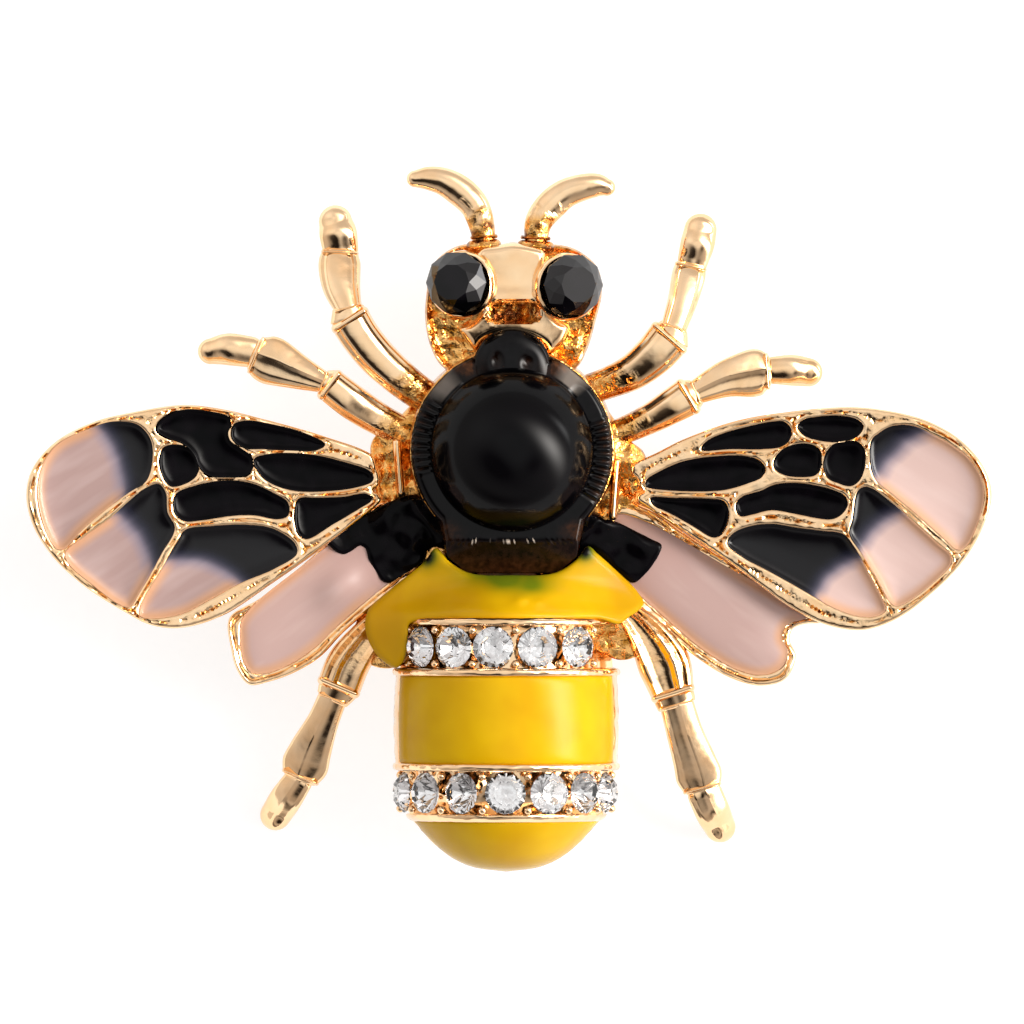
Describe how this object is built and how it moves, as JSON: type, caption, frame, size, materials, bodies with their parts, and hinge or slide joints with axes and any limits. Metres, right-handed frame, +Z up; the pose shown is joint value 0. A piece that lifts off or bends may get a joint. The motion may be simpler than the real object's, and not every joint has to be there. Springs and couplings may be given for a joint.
{
  "type": "bee brooch",
  "caption": "Bee brooch in gold-plated cast metal with enamelled wings and body, a glossy black half-ball thorax, rows of clear stones and a bar pin at the back.",
  "frame": {"origin": "centre of the brooch's box at the level of the surface that it lies on", "axes": "+Z up through the face, +Y towards the head, +X across the wings, to the right when seen from the front"},
  "size_m": [0.0472, 0.0344, 0.0116],
  "materials": {
    "gold_plate": "polished",
    "gold_steel": "polished",
    "black_cabochon": "gloss",
    "black_stone": "polished",
    "clear_stone": "polished",
    "black_enamel": "gloss",
    "pink_enamel": "gloss",
    "yellow_enamel": "gloss"
  },
  "bodies": {
    "root": {"abdomen_enamel_middle": "yellow_enamel", "abdomen_enamel_tail": "yellow_enamel", "abdomen_enamel_upper": "yellow_enamel", "casting": "gold_plate", "eye_left": "black_stone", "eye_right": "black_stone", "forewing_enamel_left_1": "pink_enamel", "forewing_enamel_left_10": "black_enamel", "forewing_enamel_left_2": "pink_enamel", "forewing_enamel_left_3": "pink_enamel", "forewing_enamel_left_4": "black_enamel", "forewing_enamel_left_5": "black_enamel", "forewing_enamel_left_6": "black_enamel", "forewing_enamel_left_7": "black_enamel", "forewing_enamel_left_8": "black_enamel", "forewing_enamel_left_9": "black_enamel", "forewing_enamel_right_1": "pink_enamel", "forewing_enamel_right_10": "black_enamel", "forewing_enamel_right_2": "pink_enamel", "forewing_enamel_right_3": "pink_enamel", "forewing_enamel_right_4": "black_enamel", "forewing_enamel_right_5": "black_enamel", "forewing_enamel_right_6": "black_enamel", "forewing_enamel_right_7": "black_enamel", "forewing_enamel_right_8": "black_enamel", "forewing_enamel_right_9": "black_enamel", "hindwing_enamel_left": "pink_enamel", "hindwing_enamel_right": "pink_enamel", "lower_stone_1": "clear_stone", "lower_stone_2": "clear_stone", "lower_stone_3": "clear_stone", "lower_stone_4": "clear_stone", "lower_stone_5": "clear_stone", "lower_stone_6": "clear_stone", "lower_stone_7": "clear_stone", "pin_back": "gold_steel", "thorax_ball": "black_cabochon", "thorax_enamel": "black_enamel", "upper_stone_1": "clear_stone", "upper_stone_2": "clear_stone", "upper_stone_3": "clear_stone", "upper_stone_4": "clear_stone", "upper_stone_5": "clear_stone", "wing_root_enamel_left": "black_enamel", "wing_root_enamel_right": "black_enamel"}
  },
  "joints": []
}
